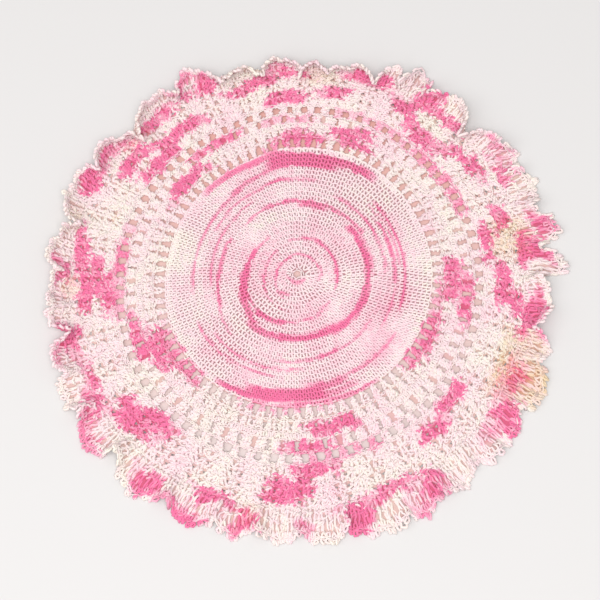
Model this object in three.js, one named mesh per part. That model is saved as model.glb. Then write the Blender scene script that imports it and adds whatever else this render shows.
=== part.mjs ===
// A round crocheted lace doily with a gathered frill, lying flat on its underside.
// Millimetres, +Z up. The origin is on the underside, below the middle of the outline.
// The work is one piece: a close disc, a band of openwork, a band of shells and the frill.

import * as THREE from "three";

// Sizes of the work. "Along" is the distance from the starting ring, measured along the cloth.
const closeThickness = 1.8; // single crochet in size 10 cotton
const openThickness = 1; // long stitches lie thinner
const thinFrom = 100; // between here and the frill the cloth gets thinner
const ringHole = 2.4; // radius of the hole that the work is started on
const discEdge = 68.5; // where the last close round ends
const archRoundEnd = 75.4; // tall arched gaps between posts
const eyeletRound = { start: 91.4, end: 98.6 }; // the widest gaps
const shellBandEnd = 121; // four rounds of shells, 5.6 mm each
const frillDepth = 15.5; // long stitches and the picot edge
const repeats = 78; // gaps in each openwork round

// One gap of each openwork round: "across" is a share of the repeat, "along" as above.
const archGap = [
  { across: 0.2, along: 69.4 },
  { across: 0.8, along: 69.4 },
  { across: 0.78, along: 72.6 },
  { across: 0.5, along: 74.3 },
  { across: 0.22, along: 72.6 },
];
const eyelet = [
  { across: 0.17, along: 92.8 },
  { across: 0.83, along: 92.8 },
  { across: 0.88, along: 95.4 },
  { across: 0.66, along: 97.5 },
  { across: 0.34, along: 97.5 },
  { across: 0.12, along: 95.4 },
];

// The cloth is drawn in where it is crowded. Each row is an angle and how many millimetres the eyelets
// and the shells' outer edge lie nearer to the ring there than the cloth's own length puts them.
const drawnInFrom = 72;
const eyeletMiddle = 95;
const crowding = table(["at", "eyelets", "shells"], [
  [0, 1.5, 6.5],
  [40, 3.4, 5],
  [75, 2.8, 8.5],
  [115, 4.2, 7],
  [160, 5.5, 6.3],
  [180, 6.2, 6.7],
  [207, 3, 3],
  [240, -0.5, 1.9],
  [290, 0.9, 1.8],
  [340, 2, 4.2],
]);
const humpPerDrawnIn = 0.4; // the shell band humps this high for each millimetre it is shortened

// The frill's folds, anticlockwise from +X and seen from the ring. Each row is one petal: the angle and
// reach of its outermost point, the angle and reach of the tuck that follows it, and how far the tuck's
// edge leans over anticlockwise. Angles and leans are in degrees, reaches in millimetres.
const petals = table(["at", "reach", "tuckAt", "tuckReach", "lean"], [
  [2.5, 131, 6.5, 121, 0.6],
  [12, 133.5, 17.5, 123, -0.8],
  [21.5, 132, 26, 123, 0.8],
  [30, 131.5, 33, 125.5, -0.4],
  [36, 129, 40.5, 113, 0.4],
  [49.5, 128.5, 54.5, 118.5, 0.3],
  [58.5, 131, 62, 119, -0.4],
  [65.5, 127.5, 69, 113, -0.6],
  [75, 120.5, 81.5, 109.5, 0.8],
  [85.5, 117, 89, 110, 0.3],
  [95, 120.5, 99.5, 111, -0.5],
  [105.5, 116.5, 111.5, 111.5, 0],
  [118.5, 127, 123.5, 114, 0.3],
  [130, 125, 139, 107, -1],
  [146, 124, 150.5, 116, 0.5],
  [158, 127.5, 167, 113, 1.2],
  [174, 126, 180.5, 118, -0.6],
  [185, 126, 188.5, 122, 0.3],
  [192, 129, 196, 118.5, 0.2],
  [200.5, 129.5, 204.5, 123, 0.5],
  [210, 132, 214, 128, -0.4],
  [220.5, 136.5, 227, 127.5, -1],
  [235, 136, 241, 131, 0.4],
  [248, 138.5, 253, 132, -0.4],
  [257, 136.5, 261, 128.5, 0.7],
  [266.5, 135, 270.5, 130.5, -0.4],
  [275.5, 136, 280.5, 128, -0.2],
  [287.5, 135.5, 293.5, 131, 0.6],
  [298, 136.5, 302.5, 127.5, 0.4],
  [306.5, 131.5, 311.5, 125, -0.7],
  [321.5, 135, 327.5, 129, 0.5],
  [333.5, 136, 338, 126, 0.7],
  [342, 129, 347, 118, -0.8],
  [352.5, 126.5, 358, 122.5, 0.3],
]);
const petalBreadth = 0.8; // below 1, a petal's edge is broad and blunt
const standing = 0.78; // how much of its spare length a long stitch gives to height
const tuckLift = 1.2; // how high a tuck lifts the shells behind it
const tuckBow = { out: 1.5, up: 3 }; // in a tuck a long stitch rises almost at once
const petalBow = { out: 7, up: 2 }; // in a petal it leaves its base outwards, in a low arch

// How finely the faces follow the shape.
const columnSpacing = 1.55; // degrees between the frill's columns, on average
const leastColumns = 5; // in the narrowest petal
const frillSteps = [0.28, 0.55, 0.8, 1];
const discRings = [
  { along: ringHole, columns: 12 },
  { along: 14, columns: 26 },
  { along: 40, columns: 39 },
];
const shellRings = [106, 114.5];

function table(names, rows) {
  return rows.map((row) => Object.fromEntries(names.map((name, i) => [name, row[i]])));
}

const wrap = (angle) => ((angle % 360) + 360) % 360;
const mix = (from, to, share) => from + (to - from) * share;
const ease = (share) => 0.5 - 0.5 * Math.cos(Math.PI * share);

// A smooth bend from start to end that is drawn towards a point between them.
const bow = (share, start, between, end) =>
  mix(mix(start, between, share), mix(between, end, share), share);

// How far the cloth is drawn in at an angle, at the eyelets and at the shells' outer edge.
function crowdingAt(angle) {
  const turned = wrap(angle);
  const index = crowding.findLastIndex((row) => row.at <= turned);
  const row = crowding[index];
  const next = crowding[(index + 1) % crowding.length];
  const share = ease((turned - row.at) / wrap(next.at - row.at));
  return {
    eyelets: mix(row.eyelets, next.eyelets, share),
    shells: mix(row.shells, next.shells, share),
  };
}

function drawnInAt({ eyelets, shells }, along) {
  return along < eyeletMiddle
    ? (eyelets * Math.max(0, along - drawnInFrom)) / (eyeletMiddle - drawnInFrom)
    : mix(eyelets, shells, (along - eyeletMiddle) / (shellBandEnd - eyeletMiddle));
}

// The petal and the tuck nearest to an angle. Share runs from 0 in the tuck to 1 at the petal's
// outermost point.
function foldAt(angle) {
  const turned = wrap(angle);
  const found = petals.findIndex((petal) => turned < petal.tuckAt);
  const index = found < 0 ? 0 : found;
  const petal = petals[index];
  const before = petals[(index + petals.length - 1) % petals.length];
  const rise = wrap(petal.at - before.tuckAt);
  const fromTuck = wrap(turned - before.tuckAt);
  if (fromTuck < rise) {
    return { petal, tuck: before, share: fromTuck / rise };
  }
  const fall = petal.tuckAt - petal.at;
  return { petal, tuck: petal, share: Math.max(0, rise + fall - fromTuck) / fall };
}

const thicknessAt = (along) =>
  mix(closeThickness, openThickness, ease(THREE.MathUtils.smoothstep(along, thinFrom, shellBandEnd)));

// The middle of the cloth's thickness, for an angle in degrees and a distance along the cloth.
function clothPoint(angle, along) {
  const { petal, tuck, share } = foldAt(angle);
  const fullness = Math.sin((Math.PI / 2) * share) ** petalBreadth;
  const crowded = crowdingAt(angle);
  const flatAlong = Math.min(along, shellBandEnd);
  const baseRadius = flatAlong - drawnInAt(crowded, flatAlong);
  const banded = Math.max(0, flatAlong - eyeletMiddle) / (shellBandEnd - eyeletMiddle);
  const shortened = Math.max(0, crowded.shells - crowded.eyelets);
  const hump = humpPerDrawnIn * shortened * Math.sin(0.8 * Math.PI * banded);
  const halfThickness = thicknessAt(along) / 2;
  const baseHeight = halfThickness + hump + tuckLift * (1 - fullness) * banded ** 3;

  const out = Math.max(0, along - shellBandEnd) / frillDepth;
  const reach = mix(tuck.tuckReach, petal.reach, fullness);
  const spare = Math.sqrt(Math.max(0, frillDepth ** 2 - (reach - baseRadius) ** 2));
  const edgeHeight = halfThickness + standing * spare;
  const bowOut = baseRadius + mix(tuckBow.out, petalBow.out, fullness);
  const bowUp = baseHeight + mix(tuckBow.up, petalBow.up, fullness);
  const radius = bow(out, baseRadius, bowOut, reach);
  const height = bow(out, baseHeight, bowUp, edgeHeight);

  const lean = tuck.lean * (1 - fullness) * out;
  const turn = THREE.MathUtils.degToRad(angle + lean);
  return new THREE.Vector3(radius * Math.cos(turn), radius * Math.sin(turn), height);
}

// The cloth's upward normal, from two short steps over the surface.
function clothNormal(angle, along) {
  const turn = 0.8;
  const step = 0.25;
  const around = clothPoint(angle + turn, along).sub(clothPoint(angle - turn, along));
  const outwards = clothPoint(angle, along + step).sub(clothPoint(angle, along - step));
  return outwards.cross(around).normalize();
}

// The cloth's points and the triangles between them, anticlockwise from above.
const points = [];
const faces = [];

function addPoint(angle, along) {
  points.push({ angle, along });
  return points.length - 1;
}

function addRing(along, angles) {
  return angles.map((angle) => ({ angle, index: addPoint(angle, along) }));
}

const evenAngles = (count) => Array.from({ length: count }, (_, i) => (i * 360) / count);

// Triangles between two rings, each in the order of its angles, whatever their counts.
function zipRings(inner, outer) {
  const reached = (ring, i) => ring[i % ring.length].angle + 360 * Math.floor(i / ring.length);
  let i = 0;
  let o = 0;
  while (i < inner.length || o < outer.length) {
    const stepInner = o >= outer.length
      || (i < inner.length && reached(inner, i + 1) <= reached(outer, o + 1));
    const a = inner[i % inner.length].index;
    const b = outer[o % outer.length].index;
    if (stepInner) {
      i += 1;
      faces.push([a, b, inner[i % inner.length].index]);
    } else {
      o += 1;
      faces.push([a, b, outer[o % outer.length].index]);
    }
  }
}

// A round of gaps: one gap in each repeat, between two rings with a point at each post.
function openRound(inner, outer, gap) {
  const pitch = 360 / repeats;
  for (let i = 0; i < repeats; i += 1) {
    const next = (i + 1) % repeats;
    const start = inner[i].angle;
    const frame = [inner[i].index, inner[next].index, outer[next].index, outer[i].index];
    const rim = gap.map((corner) => addPoint(start + corner.across * pitch, corner.along));
    const flat = (index) => {
      const across = wrap(points[index].angle - start + pitch / 2) - pitch / 2;
      return new THREE.Vector2(-across, points[index].along);
    };
    const indices = [...frame, ...rim];
    THREE.ShapeUtils.triangulateShape(frame.map(flat), [rim.map(flat)])
      .forEach((corners) => faces.push(upwards(corners.map((corner) => indices[corner]))));
  }
}

// The same triangle with its corners anticlockwise from above.
function upwards([a, b, c]) {
  const [pa, pb, pc] = [a, b, c].map((i) => clothPoint(points[i].angle, points[i].along));
  const faceUp = (pb.x - pa.x) * (pc.y - pa.y) - (pb.y - pa.y) * (pc.x - pa.x) > 0;
  return faceUp ? [a, b, c] : [a, c, b];
}

// Both sides of the cloth, and the walls along its edge and around its gaps.
function closedCloth() {
  const positions = [];
  for (const side of [1, -1]) {
    for (const { angle, along } of points) {
      const offset = clothNormal(angle, along).multiplyScalar((side * thicknessAt(along)) / 2);
      const point = clothPoint(angle, along).add(offset);
      positions.push(point.x, point.y, Math.max(0, point.z));
    }
  }
  const edges = new Set(faces.flatMap(([a, b, c]) => [`${a} ${b}`, `${b} ${c}`, `${c} ${a}`]));
  const under = points.length;
  const triangles = [];
  for (const [a, b, c] of faces) {
    triangles.push(a, b, c, a + under, c + under, b + under);
  }
  for (const edge of edges) {
    const [a, b] = edge.split(" ").map(Number);
    if (!edges.has(`${b} ${a}`)) {
      triangles.push(b, a, a + under, b, a + under, b + under);
    }
  }
  const geometry = new THREE.BufferGeometry();
  geometry.setAttribute("position", new THREE.Float32BufferAttribute(positions, 3));
  geometry.setIndex(triangles);
  geometry.computeBoundingBox();
  const middle = geometry.boundingBox.getCenter(new THREE.Vector3());
  geometry.translate(-middle.x, -middle.y, 0);
  geometry.computeVertexNormals();
  return geometry;
}

// The angles of the frill's columns, closer together towards the tucks.
function frillAngles() {
  return petals
    .flatMap((petal, i) => {
      const start = petals[(i + petals.length - 1) % petals.length].tuckAt;
      const width = wrap(petal.tuckAt - start);
      const count = Math.max(leastColumns, Math.round(width / columnSpacing));
      return Array.from({ length: count }, (_, column) => {
        const even = column / count;
        return wrap(start + width * (even - 0.1 * Math.sin(2 * Math.PI * even)));
      });
    })
    .sort((a, b) => a - b);
}

function crochet() {
  const posts = evenAngles(repeats);
  const rings = discRings.map(({ along, columns }) => addRing(along, evenAngles(columns)));
  rings.push(addRing(discEdge, posts));
  rings.slice(1).forEach((ring, i) => zipRings(rings[i], ring));

  const archEnd = addRing(archRoundEnd, posts);
  openRound(rings.at(-1), archEnd, archGap);
  const eyeletStart = addRing(eyeletRound.start, posts);
  zipRings(archEnd, eyeletStart);
  const eyeletEnd = addRing(eyeletRound.end, posts);
  openRound(eyeletStart, eyeletEnd, eyelet);

  let edge = eyeletEnd;
  for (const along of shellRings) {
    const ring = addRing(along, evenAngles(2 * repeats));
    zipRings(edge, ring);
    edge = ring;
  }
  const columns = frillAngles();
  for (const out of [0, ...frillSteps]) {
    const ring = addRing(shellBandEnd + out * frillDepth, columns);
    zipRings(edge, ring);
    edge = ring;
  }
}

crochet();

const cotton = new THREE.MeshStandardMaterial({
  name: "variegated crochet cotton",
  color: 0xf6cfda,
  roughness: 0.85,
  metalness: 0,
});
const cloth = new THREE.Mesh(closedCloth(), cotton);
cloth.name = "doily";

const part = new THREE.Group();
part.add(cloth);

export default part;
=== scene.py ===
# A round crocheted lace doily in variegated cotton, lying on a pale table.
# The work is laid stitch by stitch on the form of the cloth, and strands are swept into thread.
import math

import bpy
import numpy as np
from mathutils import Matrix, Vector, geometry


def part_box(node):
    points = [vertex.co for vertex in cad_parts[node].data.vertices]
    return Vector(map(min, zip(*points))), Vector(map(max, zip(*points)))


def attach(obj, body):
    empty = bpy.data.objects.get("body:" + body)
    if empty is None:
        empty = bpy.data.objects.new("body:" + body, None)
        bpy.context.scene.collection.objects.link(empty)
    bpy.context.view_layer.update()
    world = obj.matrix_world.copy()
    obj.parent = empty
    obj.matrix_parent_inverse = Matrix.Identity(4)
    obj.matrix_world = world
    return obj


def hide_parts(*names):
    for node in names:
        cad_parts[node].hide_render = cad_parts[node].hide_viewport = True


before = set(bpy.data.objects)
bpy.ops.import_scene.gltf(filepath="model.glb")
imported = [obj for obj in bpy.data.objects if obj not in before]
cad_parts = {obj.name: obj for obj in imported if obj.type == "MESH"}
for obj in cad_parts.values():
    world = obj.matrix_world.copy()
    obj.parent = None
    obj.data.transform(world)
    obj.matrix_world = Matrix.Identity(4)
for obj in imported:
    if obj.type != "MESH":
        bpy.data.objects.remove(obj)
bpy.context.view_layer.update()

mm = 0.001
scene = bpy.context.scene
scene.view_settings.view_transform = "Standard"
draw = np.random.default_rng(11)


def toLinear(hexColour):
    channels = [int(hexColour[i:i + 2], 16) / 255 for i in (1, 3, 5)]
    return [c / 12.92 if c <= 0.04045 else ((c + 0.055) / 1.055) ** 2.4 for c in channels] + [1.0]


def linked(name, data):
    made = bpy.data.objects.new(name, data)
    scene.collection.objects.link(made)
    return made


# The form of the cloth. Angles are degrees anticlockwise from +X, "along" is the distance from the
# starting ring measured along the cloth, and both that and lifts above the cloth are millimetres.
work = {
    "ringHole": 2.4,
    "rowHeight": 2.28,  # single crochet in size 10 cotton
    "discEdge": 68.5,
    "eyelets": 95,
    "shellsEnd": 121,
    "frillDepth": 15.5,
    "discMiddle": 0.9,  # height of the middle of the cloth above the table
    "frillMiddle": 0.55,
    "settlesFrom": 100,  # from here to the end of the shells the cloth comes down to frillMiddle
    "hump": 0.4,  # the shells hump this high for each millimetre they are drawn in
    "humpTurn": 0.8,  # half turns of the hump's sine, so that it is highest before their middle
    "petalBreadth": 0.8,
    "tuckCloseness": 1.2,  # above 1, the sides of a tuck draw together towards its edge
    "standing": 0.78,  # how much of its spare length the frill gives to height
    "tuckLift": 1.2,
    "tuckBow": (1.5, 3),
    "petalBow": (7, 2),
    "lowest": 0.5,
    "offTable": 0.1,
    "slopeSpan": (0.8, 0.25),  # degrees and millimetres to each side, over which slopes are taken
}

# How many millimetres each place is drawn in towards the ring, where the cloth is crowded.
# The places along are where nothing is drawn in, the arches, the slits, the eyelets and the end.
drawnInKnots = (30, 72, 88, work["eyelets"], work["shellsEnd"])
drawnIn = np.array([
    # at, arches, slits, eyelets, shells
    (0, 0, 2.2, 2.4, 6.5),
    (25, 0, 3.5, 3.3, 5.5),
    (45, -1.4, 3.2, 4.6, 5.2),
    (65, -3, 1, 2.8, 7.5),
    (80, -1.8, 1.3, 3, 8.5),
    (97, -1.3, 2, 4, 7.8),
    (112, 1.5, 5, 6.8, 7.2),
    (130, 2.3, 6, 7.6, 6.8),
    (150, 2.7, 6.6, 6.9, 6.4),
    (170, 2.9, 5.4, 6.2, 6.5),
    (185, 1.8, 4.1, 5.4, 6.4),
    (200, 0, 2.3, 3.9, 4),
    (215, -1.2, 1.3, 0.9, 3),
    (235, -1.8, -0.5, -0.6, 2),
    (255, -1.1, -0.6, -1, 1.9),
    (275, -0.2, 0, 0.4, 1.8),
    (300, -0.2, 0.8, 1.4, 2),
    (330, 0.3, 1.5, 1.8, 3.8),
    (350, 0.3, 2.1, 2.5, 5.3),
])

# The folds of the frill: each petal's outermost point, and the tuck that follows it.
petals = np.array([
    # at, reach, tuckAt, tuckReach, lean
    (2.5, 138, 6.5, 127, 0.6),
    (12, 136.5, 17.5, 124, -0.8),
    (21.5, 135, 26, 125.5, 0.8),
    (30, 133.5, 33, 127, -0.4),
    (36, 128, 40.5, 108, 0.4),
    (49.5, 127, 54.5, 118, 0.3),
    (58.5, 131.5, 62, 114.5, -0.4),
    (65.5, 125, 69, 109, -0.6),
    (75, 114.5, 81.5, 108.5, 0.8),
    (85.5, 111.5, 89, 106.5, 0.3),
    (95, 116, 99.5, 108, -0.5),
    (105.5, 111.5, 111.5, 110, 0),
    (118.5, 124.5, 123.5, 113.5, 0.3),
    (130, 121.5, 139, 103.5, -1),
    (146, 121.5, 150.5, 115, 0.5),
    (158, 126, 167, 111.5, 1.2),
    (174, 125.5, 180.5, 119, -0.6),
    (185, 126, 188.5, 124, 0.3),
    (192, 127.5, 196, 116.5, 0.2),
    (200.5, 128.5, 204.5, 126, 0.5),
    (210, 134.5, 214, 128, -0.4),
    (220.5, 137, 227, 127.5, -1),
    (235, 139, 241, 132.5, 0.4),
    (248, 139, 253, 132, -0.4),
    (257, 138.5, 261, 131.5, 0.7),
    (266.5, 137, 270.5, 133.5, -0.4),
    (275.5, 138, 280.5, 130, -0.2),
    (287.5, 139.5, 293.5, 135.5, 0.6),
    (298, 139.5, 302.5, 131.5, 0.4),
    (306.5, 137.5, 311.5, 133, -0.7),
    (321.5, 137.5, 327.5, 131, 0.5),
    (333.5, 140, 338, 130.5, 0.7),
    (342, 132, 347, 120.5, -0.8),
    (352.5, 129.5, 358, 123, 0.3),
])

# Smaller waves of the frill, growing towards its edge. Three times in a round they bunch up.
frillBunching = {"waves": 3, "amount": 1.5}
frillWaves = [
    # waves in a round, phase, in and out, up and down, sideways in degrees
    (31, 0.4, 0.9, 0.9, 0.5),
    (53, 2.1, 0.8, 1.2, 0.5),
    (83, 4.0, 0.7, 1.2, 0.3),
    (127, 1.3, 0.4, 0.6, 0.1),
]


def mix(start, end, share):
    return start + (end - start) * share


def bow(share, start, between, end):
    return mix(mix(start, between, share), mix(between, end, share), share)


def turnFrom(angle, middle):
    return np.mod(angle - middle + 180, 360) - 180


def drawnInAt(angle, along):
    total = np.zeros(np.shape(angle))
    before = total
    for column, (near, far) in enumerate(zip(drawnInKnots, drawnInKnots[1:]), start=1):
        here = np.interp(angle, drawnIn[:, 0], drawnIn[:, column], period=360)
        total = total + (here - before) * np.clip((along - near) / (far - near), 0, 1)
        before = here
    return total


def foldAt(angle):
    at, reach, tuckAt, tuckReach, lean = petals.T
    turned = np.mod(angle, 360)
    index = np.searchsorted(tuckAt, turned, side="right") % len(petals)
    before = index - 1
    rise = np.mod(at[index] - tuckAt[before], 360)
    fall = tuckAt[index] - at[index]
    fromTuck = np.mod(turned - tuckAt[before], 360)
    rising = fromTuck < rise
    share = np.where(rising, fromTuck / rise, np.maximum(0, rise + fall - fromTuck) / fall)
    tuck = np.where(rising, before, index)
    side = np.where(rising, rise, -fall)
    return share, side, reach[index], tuckReach[tuck], lean[tuck]


def clothPoint(angle, along):
    share, side, petalReach, tuckReach, lean = foldAt(angle)
    fullness = np.sin(math.pi / 2 * share) ** work["petalBreadth"]
    eyelets, shellsEnd, settlesFrom = (work[key] for key in ("eyelets", "shellsEnd", "settlesFrom"))
    flatAlong = np.minimum(along, shellsEnd)
    baseRadius = flatAlong - drawnInAt(angle, flatAlong)
    spareShell = np.maximum(0, drawnInAt(angle, shellsEnd) - drawnInAt(angle, eyelets))
    banded = np.clip((along - eyelets) / (shellsEnd - eyelets), 0, 1)
    hump = work["hump"] * spareShell * np.sin(work["humpTurn"] * math.pi * banded)
    settled = np.clip((along - settlesFrom) / (shellsEnd - settlesFrom), 0, 1)
    middle = mix(work["discMiddle"], work["frillMiddle"], settled)
    baseHeight = middle + hump + work["tuckLift"] * (1 - fullness) * banded ** 3

    out = np.maximum(0, along - shellsEnd) / work["frillDepth"]
    reach = mix(tuckReach, petalReach, fullness)
    spare = np.sqrt(np.maximum(0, work["frillDepth"] ** 2 - (reach - baseRadius) ** 2))
    wave = np.radians(angle)
    edgeHeight = middle + work["standing"] * spare
    outBow, upBow = (
        mix(tuck, petal, fullness) for tuck, petal in zip(work["tuckBow"], work["petalBow"]))
    radius = bow(out, baseRadius, baseRadius + outBow, reach)
    height = bow(out, baseHeight, baseHeight + upBow, edgeHeight)
    sway = np.zeros(wave.shape)
    for waves, phase, inAndOut, upAndDown, sideways in frillWaves:
        bunched = frillBunching["amount"] * np.sin(frillBunching["waves"] * wave + phase)
        swing = waves * wave + phase + bunched
        radius = radius + inAndOut * np.sin(swing + phase) * out ** 2
        height = height + upAndDown * np.cos(swing) * out ** 1.5
        sway = sway + sideways * np.sin(swing) * out ** 2
    height = np.maximum(height, work["lowest"])

    together = side * (share ** work["tuckCloseness"] - share)
    turn = np.radians(angle + sway + (together + lean * (1 - fullness)) * np.minimum(out, 1))
    return np.stack([radius * np.cos(turn), radius * np.sin(turn), height], axis=-1)


# The middle of the cloth's own outline goes to the middle of the CAD node.
rim = clothPoint(np.arange(0, 360, 0.5), work["shellsEnd"] + work["frillDepth"])
lowCorner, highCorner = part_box("doily")
ringAt = np.array([(lowCorner[i] + highCorner[i]) / 2 for i in (0, 1)] + [lowCorner[2]])
ringAt[:2] -= (rim.min(axis=0) + rim.max(axis=0))[:2] / 2 * mm


def onCloth(angle, along, lift):
    turn, step = work["slopeSpan"]
    point = clothPoint(angle, along)
    around = clothPoint(angle + turn, along) - clothPoint(angle - turn, along)
    outwards = clothPoint(angle, along + step) - clothPoint(angle, along - step)
    normal = np.cross(outwards, around)
    normal /= np.linalg.norm(normal, axis=-1, keepdims=True)
    return (point + normal * lift[..., None]) * mm + ringAt


# The camera looks down on the cloth from the side of -Y.
viewpoint = {
    "distance": 730 * mm,
    "fromVertical": math.radians(18),
    "imageSize": 600,
    "focalPixels": 1446,
    "aimFromRing": (1.5 * mm, -13.35 * mm),
}


def placeCamera():
    cameraData = bpy.data.cameras.new("camera")
    cameraData.angle = 2 * math.atan(viewpoint["imageSize"] / 2 / viewpoint["focalPixels"])
    camera = linked("camera", cameraData)
    tilt = viewpoint["fromVertical"]
    aim = Vector((*(ringAt[:2] + viewpoint["aimFromRing"]), 0))
    camera.location = aim + Vector((0, -math.sin(tilt), math.cos(tilt))) * viewpoint["distance"]
    camera.rotation_euler = (tilt, 0, 0)
    scene.camera = camera


placeCamera()
print("camera placed")


# The thread is dyed in lengths of strong pink with white and pale pink between them. In the close
# disc a length runs on from round to round; each row is one stretch of it.
discRuns = [
    # from, to, startRound, endRound, rounds, depth
    (57, 80, 28, 27.4, 2, 0.85),
    (74, 101, 27.2, 27.2, 3.2, 1),
    (95, 134, 28.8, 29.3, 1.6, 0.7),
    (100, 126, 25.9, 24.8, 0.9, 0.6),
    (124, 156, 24.1, 23.4, 0.7, 0.6),
    (150, 186, 23.4, 23.7, 0.6, 0.5),
    (80, 100, 22.5, 22.5, 0.6, 0.55),
    (97, 107, 22.8, 22.8, 0.8, 0.9),
    (106, 147, 22.6, 21.6, 0.5, 0.6),
    (122, 137, 20.2, 19.8, 0.5, 0.5),
    (135, 186, 19.6, 19.5, 0.6, 0.6),
    (152, 182, 17.3, 17.5, 0.9, 0.65),
    (180, 202, 17.7, 18.3, 0.8, 0.85),
    (200, 222, 18.5, 19.8, 0.5, 0.55),
    (108, 132, 17.4, 16.8, 0.8, 0.6),
    (58, 112, 17.3, 17.3, 0.9, 0.8),
    (70, 84, 16.6, 16.6, 1.2, 0.7),
    (36, 62, 17.5, 17.2, 0.8, 0.75),
    (-2, 42, 15.8, 15.9, 1.3, 0.95),
    (0, 42, 16.9, 16.8, 0.5, 0.55),
    (300, 362, 15.3, 15.8, 1.3, 0.85),
    (325, 346, 16.3, 16.5, 0.7, 0.8),
    (302, 316, 15.9, 15.9, 1, 0.7),
    (254, 302, 14.9, 14.8, 1.4, 0.9),
    (228, 256, 15.4, 15, 1.5, 0.75),
    (214, 232, 14, 14.6, 0.7, 0.85),
    (178, 208, 11.4, 13, 1.9, 0.95),
    (204, 224, 13, 13.9, 1.4, 0.7),
    (128, 156, 10.6, 10.8, 0.8, 0.55),
    (150, 182, 10.8, 11.3, 1.1, 0.95),
    (204, 232, 11.6, 12.5, 0.6, 0.8),
    (226, 256, 12.3, 11.6, 1.1, 0.95),
    (250, 268, 11.5, 11.1, 0.5, 0.7),
    (260, 304, 11.3, 10.3, 0.45, 0.6),
    (300, 346, 9.9, 9.1, 0.4, 0.45),
    (340, 362, 9, 8.9, 0.6, 0.85),
    (-2, 62, 8.8, 9.1, 0.6, 0.95),
    (60, 82, 9.1, 8.7, 0.7, 0.75),
    (80, 102, 8.5, 8.1, 0.7, 0.5),
    (130, 182, 7, 7.1, 0.6, 0.6),
    (180, 216, 7.2, 8, 0.5, 0.9),
    (214, 252, 8.2, 8.9, 0.4, 0.5),
    (178, 242, 4.6, 6.2, 0.5, 0.6),
    (108, 182, 4, 4.5, 0.6, 0.9),
    (-2, 112, 5.4, 4.5, 0.45, 0.7),
    (344, 362, 5.2, 5.3, 0.5, 0.7),
    (228, 252, 5.4, 5.2, 0.8, 0.65),
    (200, 330, 2, 2, 0.9, 0.6),
    (-2, 42, 24.1, 24, 0.6, 0.85),
    (-2, 34, 21.8, 21.7, 0.8, 0.8),
    (8, 44, 23, 22.6, 0.5, 0.6),
    (4, 62, 19.6, 20, 0.7, 0.65),
    (30, 41, 19.8, 19.9, 0.8, 0.9),
    (343, 362, 24, 24.1, 0.5, 0.85),
    (330, 346, 22.3, 22, 0.5, 0.6),
    (344, 362, 21.9, 21.8, 0.4, 0.6),
    (278, 326, 25.5, 25.6, 0.8, 0.6),
    (262, 292, 26.8, 26, 1.4, 0.7),
    (251, 280, 28, 27.4, 2.6, 1),
    (272, 296, 28.3, 27.8, 1.4, 0.6),
    (238, 262, 29.2, 28.6, 1.4, 0.95),
    (268, 302, 29.6, 29.6, 0.9, 0.75),
    (211, 256, 24.4, 23.7, 0.5, 0.7),
    (220, 271, 22.4, 21.9, 0.5, 0.75),
    (260, 326, 20.2, 19.4, 0.6, 0.6),
    (285, 296, 19.7, 19.6, 0.8, 0.95),
]

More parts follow.
